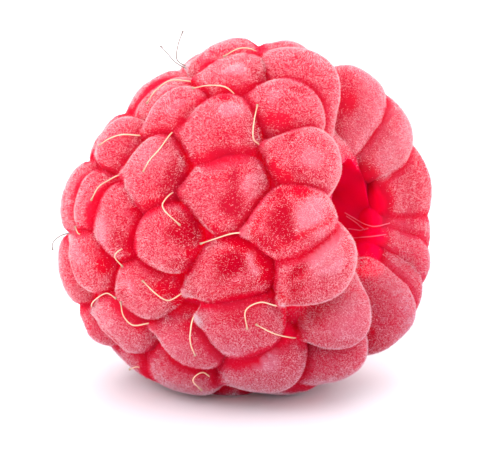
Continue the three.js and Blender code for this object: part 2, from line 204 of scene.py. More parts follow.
# Drupelets by ring, from the mouth to the closed end, as in the CAD part: ring, its place
# along the axis, how many the rule adds, and the listed ones as
# (bearing, along, lift, length, width, lean).
RINGS = [
    (6.6, 0, [
        (9, 5.4, 0.45, 1.22, 0.85, -28), (28, 5.2, -0.15, 1.0, 0.98, -3),
        (53, 6.75, -0.45, 0.95, 1.0, -16), (81, 6.1, 0.3, 1.1, 1.07, 3),
        (99.5, 6.9, 0.1, 1.14, 1.05, 36), (134, 7.0, -0.25, 0.9, 0.86, -5),
        (155.5, 4.9, 0.3, 1.19, 0.95, 2), (191.5, 6.9, -0.5, 1.18, 1.3, 10),
        (214, 6.9, -0.17, 1.0, 1.22, 8), (231, 6.8, 0.2, 1.14, 0.98, -13),
        (248, 6.9, 0.43, 0.98, 1.12, -16), (266.5, 7.7, 0.3, 0.78, 1.3, -2),
        (298, 7.4, -0.48, 1.0, 1.3, 0), (323.5, 6.5, -0.55, 1.07, 1.25, 2),
        (351, 3.3, 0.2, 0.92, 0.98, 0),
    ]),
    (2.4, 8, [
        (-1.5, 0.6, 0.35, 0.98, 1.1, 26), (14, 1.6, 0.0, 0.99, 1.2, 2),
        (42.5, 1.65, 0.0, 1.03, 1.18, 0), (66, 2.1, -0.4, 1.09, 1.2, -3),
        (97.5, 1.95, -0.45, 1.26, 1.04, 16), (120, 1.75, 0.3, 1.05, 1.2, -30),
        (139, 1.9, 0.8, 1.18, 1.12, 12),
    ]),
    (-1.9, 9, [
        (0, -4.9, -0.35, 1.1, 1.0, 6), (17.5, -3.3, -0.6, 1.08, 1.06, -12),
        (32, -1.5, 0.0, 0.92, 0.88, 28), (57.5, -2.8, 0.0, 0.86, 1.22, -13),
        (81.5, -2.05, 0.15, 0.88, 0.98, 6), (100, -4.2, 0.1, 0.91, 0.96, 16),
        (125, -1.8, 0.3, 1.03, 0.8, -40), (142, -3.3, 0.6, 1.12, 1.18, 10),
    ]),
    (-5.7, 6, [
        (-16, -6.9, -0.55, 1.0, 1.0, 0), (16, -8.0, -0.43, 1.13, 1.08, -12),
        (36.5, -5.8, 0.2, 0.88, 0.9, -9), (72.5, -5.15, 0.3, 0.92, 1.1, 0),
        (117.5, -6.4, 0.13, 1.05, 1.12, -6), (148, -5.9, 0.1, 1.17, 0.96, 0),
    ]),
    (-8.6, 3, [
        (-17, -9.3, -0.4, 1.0, 1.0, 0), (43, -9.45, 0.18, 1.25, 1.05, 0),
        (60, -7.25, 0.3, 0.91, 0.97, 28), (85.5, -7.6, 0.5, 0.94, 0.97, -40),
        (132, -9.35, 0.07, 0.95, 0.73, -5), (173, -8.7, 0.15, 1.0, 0.93, -3),
    ]),
    (-10.7, 2, [
        (8, -10.7, 0.24, 0.94, 0.99, 8), (92.5, -10.75, 0.2, 1.24, 1.11, 2),
    ]),
]

# The threads the photograph shows, each a path measured from CENTRE.
THREADS = [
    [(1.1, -4.0, 8.2), (0.8, -4.2, 8.4), (0.2, -4.7, 9.1), (-1.0, -4.2, 9.0), (-1.8, -4.8, 8.9)],
    [(3.1, -6.2, 6.1), (2.8, -6.4, 6.3), (2.6, -6.9, 6.8), (2.5, -6.4, 7.7), (2.4, -5.5, 8.4)],
    [(-2.1, -6.2, 6.5), (-2.5, -6.3, 6.6), (-2.75, -7.9, 5.95), (-3.15, -8.5, 5.4), (-3.4, -8.9, 4.8)],
    [(-1.3, -8.0, 3.5), (-1.7, -8.2, 3.6), (-2.0, -9.1, 3.3), (-1.9, -9.7, 2.9), (-0.8, -10.0, 2.1)],
    [(3.0, -9.1, 1.8), (2.7, -9.4, 1.8), (2.1, -9.5, 1.7), (1.2, -9.2, 1.3), (0.2, -9.3, 0.9)],
    [(-5.2, -6.7, 3.8), (-5.6, -6.8, 3.9), (-6.2, -7.1, 3.6), (-6.6, -7.7, 3.3), (-6.9, -8.1, 2.6)],
    [(-4.3, -5.5, 6.1), (-4.7, -5.8, 6.1), (-5.6, -6.3, 6.2), (-6.4, -6.3, 5.9), (-7.1, -6.1, 5.4)],
    [(-4.0, -8.6, 0.3), (-4.5, -8.8, 0.1), (-4.6, -9.7, 0.2), (-5.0, -9.4, -0.3), (-4.6, -9.2, -0.9)],
    [(-0.8, -8.6, -2.1), (-1.1, -8.8, -2.3), (-1.7, -9.5, -2.6), (-2.3, -10.0, -2.1), (-3.1, -10.0, -1.4)],
    [(-2.9, -8.2, -4.5), (-3.3, -8.5, -4.4), (-4.1, -8.8, -4.5), (-4.7, -8.8, -4.0), (-4.8, -9.0, -3.1)],
    [(-7.4, -5.6, -4.7), (-7.8, -5.6, -4.7), (-7.3, -6.8, -3.9), (-6.0, -8.2, -2.9), (-5.1, -9.0, -2.9)],
    [(4.8, -8.4, -2.3), (4.6, -8.6, -2.6), (3.8, -9.2, -2.3), (3.1, -9.8, -2.7), (3.2, -9.8, -3.8)],
    [(5.3, -6.2, -4.9), (5.1, -6.4, -5.1), (4.5, -8.6, -4.3), (3.7, -9.7, -3.5)],
    [(0.1, -8.8, -3.6), (-0.3, -9.1, -3.6), (-0.4, -9.4, -4.5), (-0.4, -9.3, -5.2), (-0.2, -9.1, -5.9)],
    [(0.4, -6.1, -8.0), (0.1, -6.2, -8.3), (-0.3, -7.4, -7.4), (-0.8, -7.8, -7.8), (-0.4, -7.4, -8.5)],
    [(1.0, -0.1, 9.9), (0.7, 0.0, 10.1), (0.3, -0.6, 10.5), (-0.2, -1.3, 10.6), (-0.9, -1.8, 10.2)],
    [(-2.4, -2.3, 8.6), (-2.8, -2.4, 8.7), (-3.8, -2.9, 8.8), (-4.5, -3.5, 8.3), (-4.9, -4.0, 7.6)],
    [(-6.9, -7.1, 0.6), (-7.3, -7.1, 0.5), (-7.9, -7.4, 0.3), (-8.2, -7.3, 0.7)],
    [(-8.6, -5.8, -0.4), (-9.1, -5.7, -0.2), (-9.6, -6.0, -0.3), (-10.0, -6.2, -0.7), (-10.0, -6.3, -1.1)],
    [(-3.1, -0.8, 9.0), (-3.5, -0.9, 9.2), (-4.1, -0.9, 9.6), (-4.1, -0.7, 10.4), (-3.9, -0.4, 11.2)],
    [(-3.2, -0.9, 9.0), (-3.6, -1.1, 9.2), (-4.1, -1.2, 9.5), (-4.6, -1.2, 10.0), (-5.0, -1.2, 10.4)],
    [(-4.4, -4.9, -8.1), (-4.8, -4.9, -8.4), (-5.0, -5.6, -8.0), (-5.6, -5.3, -8.3)],
]

# Where a drupelet's down is worn off the red skin (strength above 0) or stands thick and
# pale (below 0), by its number in RINGS: (towards its tip, across, half its length, half
# its width, strength), all but the last as shares of the drupelet's own size.
MARKS = {
    1: [(-0.3, -0.1, 0.35, 0.12, 0.7), (-0.15, 0.4, 0.25, 0.2, 0.5), (0.15, 0.3, 0.2, 0.2, -0.6)],
    2: [(0.4, -0.3, 0.15, 0.25, 0.7), (-0.3, 0.1, 0.35, 0.3, -0.7), (-0.1, 0.6, 0.3, 0.15, 0.4)],
    3: [
        (0.2, -0.15, 0.28, 0.6, 1.0), (-0.45, -0.15, 0.35, 0.5, -1.0),
        (0.55, 0.35, 0.25, 0.3, 0.8), (0.1, -0.9, 0.3, 0.2, 0.8),
    ],
    4: [
        (0.2, -0.37, 0.3, 0.13, 0.9), (0.4, -0.1, 0.2, 0.15, 0.7),
        (-0.45, -0.1, 0.45, 0.5, -0.9), (0.65, 0.2, 0.25, 0.3, 0.6),
    ],
    5: [(0.5, -0.85, 0.25, 0.2, 0.6), (-0.3, -0.5, 0.5, 0.5, -0.5)],
    7: [(-0.5, 0.1, 0.5, 0.4, -0.35), (0.3, 0.35, 0.3, 0.3, 0.5), (-0.2, -0.7, 0.4, 0.25, 0.4)],
    9: [(0.0, 0.0, 0.6, 0.6, -0.8)],
    11: [(-0.5, 0.1, 0.7, 0.6, 0.2), (0.3, -0.4, 0.3, 0.3, 0.4)],
    12: [(-0.3, 0.0, 0.9, 0.7, -0.5)],
    13: [(-0.3, 0.1, 0.9, 0.7, -0.5), (-0.4, 0.95, 0.35, 0.15, 0.5)],
    16: [(-0.2, 0.4, 0.3, 0.2, -0.9), (-0.7, 0.25, 0.2, 0.2, 0.5)],
    17: [(-0.15, 0.35, 0.3, 0.14, 0.2), (-0.35, -0.25, 0.35, 0.22, -0.8), (-0.2, 0.7, 0.4, 0.2, 0.6)],
    18: [(-0.22, 0.38, 0.35, 0.29, 1.0), (-0.3, -0.05, 0.15, 0.35, 0.8), (-0.7, -0.05, 0.18, 0.4, -0.7)],
    19: [(-0.15, -0.32, 0.4, 0.35, 1.0), (-0.62, -0.2, 0.14, 0.4, -1.0), (-0.1, 0.4, 0.4, 0.12, 0.4)],
    20: [(0.35, -0.7, 0.5, 0.3, 0.7), (-0.1, 0.4, 0.5, 0.25, -0.5)],
    21: [(-0.5, -0.65, 0.3, 0.25, -0.8)],
    32: [(-0.3, 0.7, 0.4, 0.2, 0.3), (0.3, -0.3, 0.4, 0.3, -0.4), (0.0, 0.4, 0.3, 0.2, -0.5)],
    33: [(-0.85, 0.3, 0.2, 0.5, 0.8), (-0.3, -0.3, 0.4, 0.3, -0.4)],
    34: [(-0.85, -0.05, 0.4, 0.4, 1.0), (-0.35, 0.8, 0.3, 0.2, 0.6)],
    36: [(0.25, -0.95, 0.2, 0.2, 0.7), (0.4, -0.2, 0.4, 0.4, -0.3)],
}

# Where the bare red opens out between drupelets: a place measured from CENTRE, and its size.
OPEN_PITS = [
    (4.9, -8.7, -2.2, 0.6), (4.8, -7.0, -3.7, 0.9), (4.5, -6.9, -4.6, 0.6), (4.1, -8.9, -0.8, 0.5),
    (3.9, -8.9, 0.2, 0.7), (3.0, -8.9, 1.2, 0.8), (2.3, -9.1, 1.1, 0.4), (-1.5, -8.7, -2.2, 0.6),
    (-2.0, -9.4, -1.9, 0.6), (3.4, -5.8, 7.6, 0.6), (2.7, -5.6, 7.3, 0.5), (0.1, -4.7, -8.9, 0.5),
    (5.9, -8.3, 4.3, 0.7), (4.7, -7.6, 4.6, 0.7), (0.4, -5.5, 8.8, 0.5), (-0.3, -5.4, 8.7, 0.4),
    (4.1, -5.7, 7.6, 0.5), (1.6, -8.9, 1.2, 0.4), (-0.8, -8.6, -4.3, 0.4), (0.9, -9.1, 1.8, 0.5),
    (-0.4, -9.6, 0.4, 0.4), (3.9, -7.3, 5.2, 0.6), (-5.9, -8.6, -1.1, 0.6), (-1.5, -8.5, -2.9, 0.5),
    (-3.8, -8.3, -4.6, 0.5), (5.4, 1.9, 7.1, 0.8),
]

# Where the down runs on across the valley: a place measured from CENTRE, and its size.
DOWNY_JOINS = [
    (-4.5, -8.4, 3.3, 0.9), (9.1, 4.6, -3.0, 1.2), (-3.3, -1.1, 8.9, 0.7), (-0.8, -1.0, 10.5, 1.2),
    (1.3, -1.5, 10.0, 0.8), (-6.8, -8.2, 0.2, 0.6), (-5.2, -4.3, 6.6, 0.7), (-2.2, -8.6, -4.3, 0.5),
    (-1.7, -5.9, 8.0, 0.6), (4.2, -8.1, -6.1, 0.6),
]

# The fine strands left across the hollow's wall, each a path measured from CENTRE.
STRANDS = [
    [
        (5.0, 3.2, 0.0), (5.4, 3.2, -0.2), (5.8, 3.2, -0.4),
        (6.4, 2.8, -0.5), (7.0, 2.9, -0.6), (7.6, 3.9, -0.6),
    ],
    [(5.4, 2.7, -1.4), (5.9, 2.55, -1.3), (6.3, 2.4, -1.2), (7.0, 2.5, -1.1), (7.6, 3.1, -1.1)],
    [(5.1, 3.2, -0.2), (5.7, 3.1, -0.5), (6.1, 2.9, -0.7), (6.4, 2.7, -0.8)],
    [(5.3, 2.95, -0.9), (5.7, 2.9, -0.9), (6.1, 2.85, -0.9), (6.6, 2.7, -0.7)],
]


# -------- the berry's swell
AHEAD = vec(math.cos(rad(AXIS_TILT)), 0, math.sin(rad(AXIS_TILT)))
ABOVE = vec(-math.sin(rad(AXIS_TILT)), 0, math.cos(rad(AXIS_TILT)))
FRONT = vec(0, -1, 0)
HOLLOW_LINE = vec(math.cos(rad(HOLLOW_TILT)), 0, math.sin(rad(HOLLOW_TILT)))
HOLLOW_OFF = vec(0, 0, HOLLOW_LIFT)  # from CENTRE to that line
NIB_X, NIB_Z = math.cos(rad(NIB_RISE)), math.sin(rad(NIB_RISE))
NIB_WAY = vec(NIB_X, 0, NIB_Z)  # to the tip, across and out


def crown_radius(along):
    if along < 0:
        return WIDE * math.sqrt(max(1e-6, 1 - (along / TO_APEX) ** 2))
    return WIDE - (WIDE - MOUTH_RADIUS) * (along / TO_MOUTH) ** 2


def outward(bearing):
    return ABOVE * math.cos(rad(bearing)) + FRONT * math.sin(rad(bearing))


def axis_point(along):
    if along < 0:
        droop = APEX_DROOP * (along / TO_APEX) ** 2
    else:
        droop = MOUTH_DROOP * (along / TO_MOUTH) ** 2
    return CENTRE + AHEAD * along - ABOVE * droop


def crown_point(along, bearing):
    return axis_point(along) + outward(bearing) * crown_radius(along)


def draw(i, k):
    """The CAD part's own repeatable draw, between -0.5 and 0.5."""
    x = math.sin(i * 12.9898 + k * 78.233) * 43758.5453
    return x - math.floor(x) - 0.5


# -------- one drupelet
def drawn_marks(rng):
    """One worn and one downy mark, as rows of MARKS."""
    strengths = (rng.uniform(0.3, 0.8), -rng.uniform(0.2, 0.7))
    return [
        (
            rng.uniform(-0.4, 0.4), rng.uniform(-0.5, 0.5),
            rng.uniform(0.2, 0.4), rng.uniform(0.2, 0.4), strength,
        )
        for strength in strengths
    ]


class Drupelet:
    """Its place and its own directions: tip, across and out."""

    def __init__(self, number, ring, bearing, along, lift, length, width, lean, listed):
        self.number, self.ring, self.bearing, self.listed = number, ring, bearing % 360, listed
        self.length, self.width = LENGTH * length, WIDTH * width
        along = max(along, -TO_APEX + APEX_CLEAR)
        self.set_directions(along, bearing, lean)
        self.middle = crown_point(along, bearing) + self.out * (lift - HEIGHT)
        reach = crown_radius(along) + lift - HEIGHT - HOLLOW_CLEAR
        self.depth = min(DEPTH, max(SHALLOW, reach)) if ring < DEEP_RINGS else SHALLOW
        self.set_skin(np.random.default_rng(DRUPELET_SEED + number))

    def set_directions(self, along, bearing, lean):
        """Out is square to the swell; the tip leans off the way to the closed end."""
        step = 0.05
        crown = crown_point(along, bearing)
        ahead = unit(crown_point(along + step, bearing) - crown_point(along - step, bearing))
        sideways = crown_point(along, bearing + 1) - crown_point(along, bearing - 1)
        self.out = unit(np.cross(sideways, ahead))
        if self.out @ (crown - axis_point(along)) < 0:
            self.out = -self.out
        self.off_axis = outward(bearing)
        across = np.cross(self.out, -ahead)
        c, s = math.cos(rad(lean)), math.sin(rad(lean))
        self.tip = -ahead * c + across * s
        self.across = across * c + ahead * s

    def set_skin(self, rng):
        """Its ripple, and the marks that MARKS lists or else drawn ones."""
        self.waves = unit(rng.normal(size=(RIPPLE_WAVES, 3))) * rng.uniform(*WAVE_TURNS, (RIPPLE_WAVES, 1))
        self.phases = rng.uniform(0, 2 * math.pi, RIPPLE_WAVES)
        self.marks = MARKS.get(self.number) or drawn_marks(rng)

    def marked(self, x, y):
        """How worn (up to 1) or downy (down to -1) its skin is at x to its tip, y across."""
        wave_x, wave_y = MARK_WAVES
        uneven = 1 + MARK_UNEVEN * np.sin(wave_x * x + self.phases[0]) * np.sin(wave_y * y + self.phases[1])
        total = np.zeros(len(x))
        for at_x, at_y, half_x, half_y, strength in self.marks:
            away = np.hypot((x - at_x) / half_x, (y - at_y) / half_y) * uneven
            total += strength * (1 - smooth(*MARK_FADE, away))
        return np.clip(total, -1, 1)

    def points(self, way, ripple=0.0):
        """Points of its surface in the directions `way`, columns to the tip, across, out."""
        x, y, z = way.T
        flat = np.hypot(x, y)
        full = (flat**PLUMP + np.abs(z) ** PLUMP) ** (-1 / PLUMP)
        full = full * (1 + ripple * np.sin(way @ self.waves.T + self.phases).sum(axis=1))
        to_tip = np.maximum(0, x)
        drawn_in = 1 - INNER_NARROW * np.maximum(0, -z)
        px = full * x * self.length * np.where(x > 0, 1, BLUNT) * drawn_in
        py = full * y * self.width * (1 - TIP_NARROW * to_tip**TIP_POWER) * drawn_in
        pz = full * z * np.where(z > 0, HEIGHT * (1 - TIP_LOW * to_tip), self.depth)
        pz = pz - DENT * self.marked(full * x, full * y) * (z > 0)
        off = np.degrees(np.arccos(np.clip(x * NIB_X + z * NIB_Z, -1, 1)))
        nib = NIB_LENGTH * bell(off, 0, NIB_SPREAD)
        px = px + nib * NIB_X
        pz = pz + nib * NIB_Z
        turn = np.clip(-pz / DEPTH, 0, 1)[:, None]
        up = self.out * (1 - turn) + self.off_axis * turn
        return self.middle + px[:, None] * self.tip + py[:, None] * self.across + pz[:, None] * up

    def local(self, places):
        """The places in its own directions, each as a share of its own size there."""
        q = places - self.middle
        x, y, z = q @ self.tip, q @ self.across, q @ self.out
        z = z / np.where(z > 0, HEIGHT, self.depth)
        drawn_in = 1 - INNER_NARROW * np.clip(-z, 0, 1)
        x = x / (self.length * np.where(x > 0, 1, BLUNT) * drawn_in)
        y = y / (self.width * (1 - TIP_NARROW * np.clip(x, 0, 1) ** TIP_POWER) * drawn_in)
        return np.stack([x, y, z], axis=1)


def ruled_drupelet(n, ring, bearing, along):
    """One that the photograph doesn't show, a little off an even place, as in the CAD part."""
    return Drupelet(
        n,
        ring,
        bearing=bearing + 4 * draw(n, 1),
        along=along + 0.9 * draw(n, 2),
        lift=0.1 + 0.5 * draw(n, 3),
        length=1.04 + 0.16 * draw(n, 4),
        width=1.02 + 0.16 * draw(n, 5),
        lean=50 * draw(n, 6),
        listed=False,
    )


def drupelet_list():
    """Ring by ring, the listed ones and then the rule's, evenly between the last and the first."""
    found = []
    for ring, (ring_along, fill, listed) in enumerate(RINGS):
        for row in listed:
            found.append(Drupelet(len(found), ring, *row, listed=True))
        first, last = listed[0][0], listed[-1][0]
        step = (360 - (last - first)) / (fill + 1)
        for i in range(1, fill + 1):
            found.append(ruled_drupelet(len(found), ring, last + step * i, ring_along))
    return found


DRUPELETS = drupelet_list()
MOUTH_RING = len(RINGS[0][2])  # how many stand round the mouth, the first ones in the list


# -------- meshes
def write_mesh(name, places, faces):
    mesh = bpy.data.meshes.new(name)
    mesh.from_pydata((np.asarray(places) * MM).tolist(), [], faces)
    mesh.update()
    return mesh


def new_object(name, data):
    piece = bpy.data.objects.new(name, data)
    bpy.context.scene.collection.objects.link(piece)
    return piece


def closed_rings(count, sides):
    """Faces of a closed surface: a first point, `count` rings of `sides`, a last point."""
    faces = []
    end = 1 + count * sides
    for k in range(sides):
        n = (k + 1) % sides
        faces.append((0, 1 + k, 1 + n))
        for r in range(count - 1):
            a, b = 1 + r * sides, 1 + (r + 1) * sides
            faces.append((a + k, b + k, b + n, a + n))
        a = 1 + (count - 1) * sides
        faces.append((a + k, end, a + n))
    return faces


# the directions that a drupelet's points are taken in, as degrees off its crown: fine where
# it shows, and finer further in on the ring round the mouth
AROUND = 48
OUTER_POLARS = [3.5 + 4.8 * i for i in range(22)]
POLARS = OUTER_POLARS + [112, 124, 138, 156]
MOUTH_POLARS = OUTER_POLARS + [112, 120, 128, 136, 145, 156, 168]


def directions(polars):
    rows = [vec(0, 0, 1)[None]]
    turn = np.linspace(0, 2 * math.pi, AROUND, endpoint=False)
    for polar in polars:
        s, c = math.sin(rad(polar)), math.cos(rad(polar))
        rows.append(np.stack([s * np.cos(turn), s * np.sin(turn), np.full(AROUND, c)], axis=1))
    rows.append(vec(0, 0, -1)[None])
    return np.concatenate(rows)


def add_lobe(d, collection):
    """The closed mesh of one whole drupelet."""
    polars = MOUTH_POLARS if d.ring == 0 else POLARS
    places = d.points(directions(polars), RIPPLE)
    mesh = write_mesh(f"lobe_{d.number}", places, closed_rings(len(polars), AROUND))
    collection.objects.link(bpy.data.objects.new(mesh.name, mesh))


def turned(name, profile, place, sides):
    """A closed turned solid; `profile` is (along, radius) from its mouth end inwards."""
    points = [place(profile[0][0], 0, 0)]
    for along, radius in profile[1:-1]:
        points += [place(along, 360 * k / sides, radius) for k in range(sides)]
    points.append(place(profile[-1][0], 0, 0))
    return new_object(name, write_mesh(name, points, closed_rings(len(profile) - 2, sides)))


def flesh_point(along, bearing, radius):
    return axis_point(along) + outward(bearing) * radius


def flesh_object():
    """What joins the drupelets, a little below their crowns."""
    profile = list(FLESH_MOUTH)
    for along in FLESH_ALONG:
        profile.append((along, max(FLESH_LEAST, crown_radius(along) - CORE_SKIN)))
    profile.append((-TO_APEX + CORE_SKIN, 0))
    return turned("flesh_core", profile, flesh_point, FLESH_SIDES)


def hollow_point(along, bearing, radius):
    """On the hollow's wall, where the inner end of each drupelet stands out a little."""
    line = CENTRE + (along * HOLLOW_LINE + HOLLOW_OFF)
    row = math.cos(2 * math.pi * along / WALL_ROW)
    radius *= 1 + WALL_BUMP * math.cos(rad(WALL_BUMPS * bearing)) * row
    return line + radius * (FRONT * math.sin(rad(bearing)) + vec(0, 0, 1) * math.cos(rad(bearing)))


def hollow_object(name, radius, end):
    """What is cut out: from beyond the mouth to the closed end, in short steps."""
    corners = [(end + off, radius * share) for off, share in HOLLOW_CLOSING]
    alongs, radii = zip(*corners, (HOLLOW_OPEN, radius))
    steps = np.arange(HOLLOW_OPEN, end + HOLLOW_LAST, -HOLLOW_STEP)
    rows = [(along, np.interp(along, alongs, radii)) for along in steps]
    profile = [(HOLLOW_OPEN + HOLLOW_POINT, 0), *rows, (end, 0)]
    return turned(name, profile, hollow_point, HOLLOW_SIDES)


def ground_object():
    """A block, its top where the berry lies, that cuts off what would be below."""
    half, deep = 30, 20
    corners = [(x, y, z) for z in (-deep, 0) for y in (-half, half) for x in (-half, half)]
    faces = [(0, 2, 3, 1), (4, 5, 7, 6), (0, 1, 5, 4), (2, 6, 7, 3), (0, 4, 6, 2), (1, 3, 7, 5)]
    return new_object("ground", write_mesh("ground", corners, faces))


def combine(piece, operation, other):
    """Joins the other object, or all of a collection, to the piece, or cuts it out."""
    step = piece.modifiers.new(operation, "BOOLEAN")
    step.operation = operation
    step.solver = "MANIFOLD"
    if isinstance(other, bpy.types.Collection):
        step.operand_type = "COLLECTION"
        step.collection = other
    else:
        step.object = other


def fuse_berry():
    """The drupelets fused to the flesh round the hollow, cut flat where it lies."""
    lobes = bpy.data.collections.new("lobes")
    for d in DRUPELETS:
        add_lobe(d, lobes)
    flesh = flesh_object()
    wall = hollow_object("hollow_wall", SKIN_WALL, HOLLOW_END)
    clear = hollow_object("hollow_clear", SKIN_CLEAR, SKIN_CLEAR_END)
    ground = ground_object()
    combine(flesh, "DIFFERENCE", wall)
    combine(flesh, "UNION", lobes)
    combine(flesh, "DIFFERENCE", clear)
    combine(flesh, "DIFFERENCE", ground)
    view = bpy.context.evaluated_depsgraph_get()
    mesh = bpy.data.meshes.new_from_object(flesh.evaluated_get(view))
    for piece in [flesh, wall, clear, ground, *lobes.objects]:
        bpy.data.objects.remove(piece)
    bpy.data.collections.remove(lobes)
    mesh.name = "raspberry_skin"
    return mesh


def places_of(mesh):
    places = np.empty(len(mesh.vertices) * 3)
    mesh.vertices.foreach_get("co", places)
    return places.reshape(-1, 3) / MM


def normals_of(mesh):
    normals = np.empty(len(mesh.vertices) * 3)
    mesh.vertex_normals.foreach_get("vector", normals)
    return normals.reshape(-1, 3)


def triangles_of(mesh):
    mesh.calc_loop_triangles()
    corners = np.empty(len(mesh.loop_triangles) * 3, dtype=int)
    mesh.loop_triangles.foreach_get("vertices", corners)
    return corners.reshape(-1, 3)


def keep_on(mesh, name, values):
    """Keeps a number for each point on the mesh, for its material."""
    attribute = mesh.attributes.new(name, "FLOAT", "POINT")
    attribute.data.foreach_set("value", np.asarray(values, dtype=np.float32))


# -------- what each place is like
def survey(places):
    """For each place: the drupelet it is on, its gap to the next one, and where on its own
    drupelet it lies."""
    best = np.full(len(places), np.inf)
    second = best.copy()
    owner = np.zeros(len(places), dtype=int)
    here = np.zeros((len(places), 3))
    for d in DRUPELETS:
        local = d.local(places)
        flat = np.hypot(local[:, 0], local[:, 1])
        gauge = (flat**PLUMP + np.abs(local[:, 2]) ** PLUMP) ** (1 / PLUMP)
        nearer = gauge < best
        second = np.where(nearer, best, np.minimum(second, gauge))
        best = np.where(nearer, gauge, best)
        owner[nearer] = d.number
        here[nearer] = local[nearer]
    return owner, second - best, here


def near_nib(here, gap):
    """1 at the pointed tip of a drupelet, 0 away from it and beside the next drupelet."""
    off = np.degrees(np.arccos(np.clip(unit(here) @ NIB_WAY, -1, 1)))
    return bell(off, 0, TUFT_SPREAD) * smooth(0.0, TUFT_GAP, gap)


def mouth_end(owner, here):
    """1 on the ends of the drupelets that stand round the mouth, 0 elsewhere."""
    return (owner < MOUTH_RING) * (1 - smooth(0.0, MOUTH_SIDE, here[:, 0]))


def close_to(spots, places):
    """1 in any of the spots, 0 clear of them all."""
    clear = np.ones(len(places))
    fade, end = SPOT_FADE
    for x, y, z, size in spots:
        away = np.linalg.norm(places - CENTRE - vec(x, y, z), axis=1)
        clear *= smooth(fade * size, end * size, away)
    return 1 - clear


def out_of_pits(owner, here, places):
    """0 deep between the drupelets and in the open pits, 1 elsewhere."""
    clear = np.maximum(smooth(0.0, PIT_RISE, here[:, 2]), mouth_end(owner, here))
    clear = np.maximum(clear, close_to(DOWNY_JOINS, places))
    return clear * (1 - close_to(OPEN_PITS, places))


def marks_at(owner, here, places):
    """How worn (above 0) or downy (below 0) the skin is at each place."""
    marks = np.zeros(len(owner))
    for d in DRUPELETS:
        mine = owner == d.number
        marks[mine] = d.marked(here[mine, 0], here[mine, 1])
    return marks * out_of_pits(owner, here, places)


def past_valley(owner, gap, here, places):
    """How far a place is past the bare red of the valley, unevenly wide along it."""
    one, other = VALLEY_WAVES
    uneven = np.sin(places @ one) * np.sin(places @ other)
    valley = VALLEY + (MOUTH_VALLEY - VALLEY) * mouth_end(owner, here)
    joined = close_to(DOWNY_JOINS, places)
    return gap - valley * (1 + VALLEY_UNEVEN * uneven) * (1 - joined) + JOIN_GAP * joined


def inside_hollow(places, near, far):
    """1 up to `near` from the hollow's own line, 0 beyond `far`."""
    q = places - CENTRE - HOLLOW_OFF
    along = q @ HOLLOW_LINE
    away = np.linalg.norm(q - along[:, None] * HOLLOW_LINE, axis=1)
    return (1 - smooth(near, far, away)) * (along > HOLLOW_END - HOLLOW_BEHIND)


def bare_inside(owner, places):
    """1 where the hollow and the drupelets' ends in it have no down, further out half way up."""
    wide = inside_hollow(places, *MOUTH_BARE_WIDE)
    narrow = inside_hollow(places, *MOUTH_BARE)
    height = places[:, 2] - CENTRE[2]
    share = smooth(*WIDE_FROM, height) * (1 - smooth(*WIDE_TO, height))
    return (narrow + (wide - narrow) * share) * (owner != DOWNY_END)


def bare_bands():
    """For each drupelet: how bare the band inside its edge is, and 1 where it is plain."""
    bareness = np.random.default_rng(BAND_SEED).uniform(*BAND_BARENESS, len(DRUPELETS))
    plain = np.zeros(len(DRUPELETS))
    for number, strength in BARE_BANDS.items():
        bareness[number] = strength
        plain[number] = 1
    return bareness, plain


def down_and_shade_cover(owner, gap, here, places, normals):
    """How far the down covers the skin. On the upper side of a drupelet it reaches the
    edge; on the under side it thins towards the valley, over a wider way the higher it
    lies, which paints shade there as bare red. There is a barer band inside the edge,
    all round where it is plain."""
    bareness, plain = bare_bands()
    up = smooth(*UPPER_SIDE, normals[:, 2])
    past = past_valley(owner, gap, here, places)
    band = bareness[owner] * np.maximum(up, plain[owner]) * bell(past, BAND_WAY, BAND_WIDTH)
    start, way = UNDER_SHADE_THINNING
    way = way + HIGH_THINNING * smooth(*HIGH_UP, places[:, 2]) * (1 - PLAIN_THINNING * plain[owner])
    way *= 1 - MOUTH_THINNING * mouth_end(owner, here)
    covered = smooth(*UPPER_THINNING, past) * up + smooth(start, way, past) * (1 - up)
    covered = covered * (1 - band) * out_of_pits(owner, here, places)
    return covered * (1 - bare_inside(owner, places))


def low_painted_shade(places):
    """1 low down, where shade is painted darker, most of all towards the mouth; 0 from half way up."""
    x, _, z = (places - vec(CENTRE[0], 0, 0)).T
    return 1 - smooth(*LOW_DOWN, z - LOW_LEAN * x)


# -------- materials
VALLEY_RED = (0.53, 0.0003, 0.014)
# painted light: a brighter red deep in the valleys, for light through the flesh
PIT_GLOW_RED = (0.90, 0.0006, 0.035)
# worn patches, and painted shade on the drupelets' inner ends in the mouth
WORN_AND_SHADE_RED = (0.40, 0.0002, 0.012)
SKIN_RED = (0.49, 0.004, 0.028)
SKIN_PINK = (0.54, 0.060, 0.097)
DOWNY_PINK = (0.60, 0.19, 0.25)
TINT_RED = (0.62, 0.03, 0.075)
NIB_PINK = (0.72, 0.32, 0.38)
# painted light: the hollow's red, brighter for light through its thin walls
HOLLOW_GLOW_RED = (0.76, 0.0006, 0.04)
LOW_SHADE = (0.80, 0.77, 0.86)  # times the other colours, low down
HAIR_PINK = (0.80, 0.40, 0.44)
HAIR_PALE = (0.92, 0.68, 0.70)
HAIR_WHITE = (0.92, 0.76, 0.80)  # on the nibs
HAIR_SHADE_RED = (0.82, 0.10, 0.18)  # painted shade: redder hairs in the valleys
STRAND_PINK = (0.80, 0.08, 0.15)
THREAD_TONES = [  # from the root to the end
    (0.0, (0.80, 0.42, 0.34)), (0.25, (0.80, 0.56, 0.39)),
    (0.85, (0.76, 0.53, 0.36)), (1.0, (0.40, 0.27, 0.18)),
]
THREAD_GREY = (0.25, 0.21, 0.19)
BLACK, WHITE = (0, 0, 0), (1, 1, 1)
FLOOR_WHITE = (0.81, 0.79, 0.83)
GLOW_WHITE = (0.97, 0.98, 1.0)


